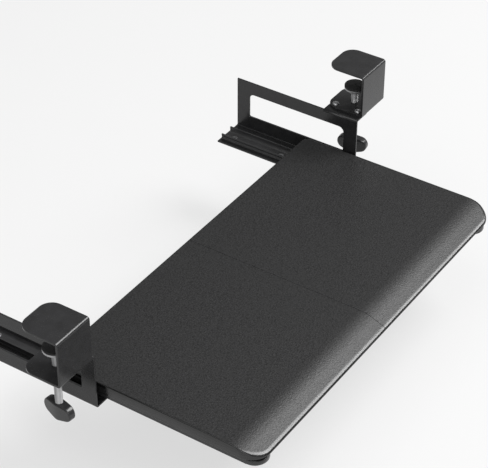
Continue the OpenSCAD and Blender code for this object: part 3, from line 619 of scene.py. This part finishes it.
# Fasteners: turned heads with a hexagon or a cross sunk in them. The seat of a head is at height 0
bolt = {"head": 4.75, "high": 2.7, "crown": 2.4, "rim": 0.6, "domeRows": 7, "seatEase": 0.15, "shank": 2.5,
        "long": 13.0, "plain": 7.0, "key": 3.0, "keyDeep": 1.6, "keyEase": 0.2, "pitch": 0.8, "threadDepth": 0.35,
        "threadStep": 0.1, "threadFade": 0.6, "steps": 48}
pan = {"head": 3.25, "high": 2.0, "crown": 2.0, "rim": 0.4, "domeRows": 6, "seatEase": 0.1, "shank": 1.75,
       "wide": 1.75, "narrow": 0.55, "deep": 1.2, "taper": 0.8, "steps": 48}
countersunk = {"head": 3.8, "high": 1.8, "rim": 0.12, "rimEase": 0.05, "shank": 2.0, "wide": 1.9, "narrow": 0.6,
               "deep": 1.3, "taper": 0.8, "steps": 48}
nut = {"face": 0.475, "ease": 0.3, "cone": 30.0, "coneRows": 6, "steps": 72}


def domeRows(head):  # a quarter of an ellipse from the crown of the head out to its rim
    out, fall = roundSteps(1.0, head["domeRows"])
    return list(zip(head["crown"] + (head["head"] - head["crown"]) * out,
                    head["high"] - (head["high"] - head["rim"]) * fall))


def boltShape():  # from the bottom of its hexagon out over the dome, and down the shank to the thread
    b = bolt
    key, top, ease = hexRing(b["key"], b["steps"]), b["high"], b["seatEase"]
    rows = [(0, top - b["keyDeep"]), (key, top - b["keyDeep"]), (key, top - b["keyEase"]), (key + b["keyEase"], top)]
    rows += domeRows(b) + [(b["head"], ease), (b["head"] - ease, 0), (b["shank"], 0), (b["shank"], -b["plain"])]
    rows += threadRows(-b["long"], -b["plain"], b["shank"], b)[::-1] + [(0, -b["long"])]
    return turnedPart(rows, b["steps"])


def panShape(length):  # from the bottom of its cross out over the dome, and down a plain shank
    p = pan
    cross, top, ease = crossRing(p["wide"], p["narrow"], p["steps"]), p["high"], p["seatEase"]
    rows = [(0, top - p["deep"]), (cross * p["taper"], top - p["deep"]), (cross, top)] + domeRows(p)
    rows += [(p["head"], ease), (p["head"] - ease, 0), (p["shank"], 0), (p["shank"], -length), (0, -length)]
    return turnedPart(rows, p["steps"])


def countersunkShape(length):  # a flat head with a cross, a cone below it and a plain shank
    s = countersunk
    cross = crossRing(s["wide"], s["narrow"], s["steps"])
    rows = [(0, -s["deep"]), (cross * s["taper"], -s["deep"]), (cross, 0), (s["head"] - s["rim"], 0),
            (s["head"] - s["rimEase"], -s["rimEase"]), (s["shank"], -s["high"]), (s["shank"], -length), (0, -length)]
    return turnedPart(rows, s["steps"])


def nutShape(across, high, bore):  # the flats are cut by a cone at both ends, and the bore is eased
    face, ease, slope = nut["face"] * across, nut["ease"], math.tan(math.radians(nut["cone"]))
    rise = np.linspace(0, 1, nut["coneRows"]) * (across / math.sqrt(3) - face) * slope
    low = [(hexRing(across, nut["steps"], face + z / slope), z) for z in rise]
    rows = [(bore, ease), (bore + ease, 0)] + low + [(r, high - z) for r, z in low[::-1]]
    rows += [(bore + ease, high), (bore, high - ease)]
    return turnedPart(rows, nut["steps"], True)


def spotsOf(node):  # each solid's middle in plan: its lowest index spreads along its faces until it has one mark
    mesh = frame["nodes"][node].data
    points = pointsOf(mesh)
    same = np.unique(np.round(points, 3), axis=0, return_inverse=True)[1].ravel()
    corners = np.empty(len(mesh.loops), np.int32)
    mesh.loops.foreach_get("vertex_index", corners)
    faces = same[corners].reshape(-1, 3)
    mark, before = np.arange(same.max() + 1), None
    while before is None or (mark != before).any():
        before = mark.copy()
        np.minimum.at(mark, faces, before[faces].min(1, keepdims=True))
    own = mark[same]
    return [(points[own == m, :2].min(0) + points[own == m, :2].max(0)) / 2 for m in np.unique(own)]


def fasten(node, shape, seat):  # the same fastener on every spot of its node
    surfacePiece(copies(shape, [(*spot, seat) for spot in spotsOf(node)]), node, sharp=35)


fasteners = {"arm_bolts": (boltShape(), 53.7), "arm_nuts": (nutShape(across=8.0, high=4.0, bore=2.55), 44.2),
             "clamp_nut": (nutShape(across=16.0, high=8.4, bore=4.9), 42.3),
             "rail_screws": (countersunkShape(length=8.5), -26.3),
             "rail_nuts": (nutShape(across=7.0, high=3.2, bore=2.05), -34.0),
             "runner_screws": (facingDown(countersunkShape(length=12.0)), -17.0),
             "cap_screw": (facingDown(panShape(length=11.9)), -17.9)}  # shape, and height of its seat
joinerScrew = {"length": 11.0, "seat": -17.0}
for name in sides:
    for part, (shape, seat) in fasteners.items():
        fasten(name + "_" + part, shape, seat)
fasten("joiner_screws", facingDown(panShape(joinerScrew["length"])), joinerScrew["seat"])
print("fasteners made")

# Runner cap: an edge profile carried round half a turn, drawn in to a neck under the board, with a flat tongue that
# reaches into the runner
cap = {"x": 265.0, "y": -129.2, "radius": 18.0, "wall": 2.5, "low": -27.5, "high": -16.5, "roof": 1.5, "edge": 1.0,
       "neck": 16.0, "neckWall": 1.6, "step": -20.3, "ease": 0.3, "neckFoot": 0.2, "steps": 40, "tongueHalf": 15.2,
       "tongue": 14.0, "tongueHigh": -17.0, "tongueThick": 0.9, "tongueSteps": 5}


def capShape():
    c = cap
    ease, inner, neck = c["ease"], c["radius"] - c["wall"], c["neck"] - c["neckWall"]
    out, fall = roundSteps(c["edge"])
    profile = [(0, c["high"]), (c["neck"] - ease, c["high"]), (c["neck"], c["high"] - ease),
               (c["neck"], c["step"] + c["neckFoot"])]
    profile += list(zip(c["radius"] - c["edge"] + out, c["step"] - fall))
    profile += list(zip(c["radius"] - fall, c["low"] + c["edge"] - out))
    profile += [(inner + ease, c["low"]), (inner, c["low"] + ease), (inner, c["step"] - c["roof"]),
                (neck, c["step"] - c["roof"]), (neck, c["high"] - c["roof"]), (0, c["high"] - c["roof"])]
    r, z = np.array(profile).T
    angle = np.linspace(math.pi, 2 * math.pi, c["steps"])[:, None]
    heights = np.broadcast_to(z, (c["steps"], len(z)))
    points = np.stack([c["x"] + r * np.cos(angle), c["y"] + r * np.sin(angle), heights], -1)
    shell = points.reshape(-1, 3), gridFaces(c["steps"], len(z), False, True)
    xs, ys = np.meshgrid(c["x"] + np.linspace(-1, 1, c["tongueSteps"]) * c["tongueHalf"],
                         c["y"] + np.linspace(0, c["tongue"], c["tongueSteps"]))
    top = np.full(xs.shape, c["tongueHigh"])
    return joined([shell, slab(xs, ys, top, top - c["tongueThick"])])


def capPiece(node, side, sharp=40):  # the shell's two flat ends are closed with one face each once the rest is merged
    mesh = surfacePiece(mirroredTo(capShape(), side), node, sharp).data
    shell = bmesh.new()
    shell.from_mesh(mesh)
    bmesh.ops.holes_fill(shell, edges=[e for e in shell.edges if e.is_boundary], sides=0)
    bmesh.ops.delete(shell, geom=[e for e in shell.edges if not e.link_faces], context="EDGES")  # the turning axis
    bmesh.ops.recalc_face_normals(shell, faces=shell.faces)
    shell.to_mesh(mesh)
    shell.free()
    mesh.set_sharp_from_angle(angle=math.radians(sharp))


for name, side in sides.items():
    capPiece(name + "_runner_cap", side)
print("runner caps made")

# Stage: pale floor well below the hanging tray, soft boxes and an even sky, in metres. A box's way is the direction
# to it from the tray
studio = {"floorDrop": 0.11, "floorReach": 14.0, "floorColor": 0.22, "floorRough": 0.9, "floorLift": 0.63,
          "sky": 0.25}
boxes = {"key": {"way": (0.46, -0.35, 0.81), "distance": 4.0, "wide": 2.4, "tall": 1.4, "roll": 0, "watts": 124.0},
         "top": {"way": (-0.35, 0.1, 1.0), "distance": 1.9, "wide": 1.6, "tall": 1.3, "roll": 0, "watts": 12.0},
         "front": {"way": (0.654, -0.478, 0.585), "distance": 4.1, "wide": 2.2, "tall": 0.6, "roll": -40,
                   "watts": 62.0},
         "fill": {"way": (-0.85, -0.45, 0.45), "distance": 2.2, "wide": 1.4, "tall": 1.2, "roll": 0, "watts": 13.0}}


def floorPaint():  # pale, and lifted towards white for the camera and for what mirrors it
    paint = bpy.data.materials.new("paleFloor")
    paint.use_nodes = True
    tree = paint.node_tree
    shader = tree.nodes["Principled BSDF"]
    shader.inputs["Base Color"].default_value = (*[studio["floorColor"]] * 3, 1)
    shader.inputs["Roughness"].default_value = studio["floorRough"]
    rays = tree.nodes.new("ShaderNodeLightPath")
    shown = rays.outputs["Is Camera Ray"]
    for kind in ("Is Glossy Ray", "Is Transmission Ray"):  # mirrors and glass would show the same floor
        either = tree.nodes.new("ShaderNodeMath")
        either.operation = "MAXIMUM"
        tree.links.new(shown, either.inputs[0])
        tree.links.new(rays.outputs[kind], either.inputs[1])
        shown = either.outputs[0]
    lift = tree.nodes.new("ShaderNodeMath")
    lift.operation = "MULTIPLY"
    lift.inputs[1].default_value = studio["floorLift"]
    tree.links.new(shown, lift.inputs[0])
    shader.inputs["Emission Color"].default_value = (1, 1, 1, 1)
    tree.links.new(lift.outputs[0], shader.inputs["Emission Strength"])
    return paint


def layFloor():
    reach, height = studio["floorReach"], cadBox[0].z - studio["floorDrop"]
    corners = [(-reach, -reach), (reach, -reach), (reach, reach), (-reach, reach)]
    floorMesh = bpy.data.meshes.new("floor")
    floorMesh.from_pydata([(x, y, height) for x, y in corners], [], [(0, 1, 2, 3)])
    floorMesh.materials.append(floorPaint())
    floor = bpy.data.objects.new("floor", floorMesh)
    bpy.context.scene.collection.objects.link(floor)


def hangSky():
    sky = bpy.data.worlds.new("studioSky")
    bpy.context.scene.world = sky
    sky.use_nodes = True
    dome = sky.node_tree.nodes["Background"]
    dome.inputs["Color"].default_value = (1, 1, 1, 1)
    dome.inputs["Strength"].default_value = studio["sky"]


def hangBox(name, b):  # its axes: the way to it, a level line and the line upright on both, rolled about the way
    lamp = bpy.data.lights.new(name + "Box", "AREA")
    lamp.shape = "RECTANGLE"
    lamp.size, lamp.size_y, lamp.energy = b["wide"], b["tall"], b["watts"]
    box = bpy.data.objects.new(name + "Box", lamp)
    bpy.context.scene.collection.objects.link(box)
    out = np.array(b["way"]) / np.linalg.norm(b["way"])
    level = np.cross([0, 0, 1], out)
    level = level / np.linalg.norm(level)
    turn = Matrix(np.stack([level, np.cross(out, level), out], axis=1).tolist()).to_4x4()
    turn = turn @ Matrix.Rotation(math.radians(b["roll"]), 4, "Z")
    box.matrix_world = Matrix.Translation((out * b["distance"]).tolist()) @ turn


layFloor()
hangSky()
for name, b in boxes.items():
    hangBox(name, b)
bpy.context.scene.view_settings.view_transform = "Standard"
print("stage and light set")

bpy.context.view_layer.update()
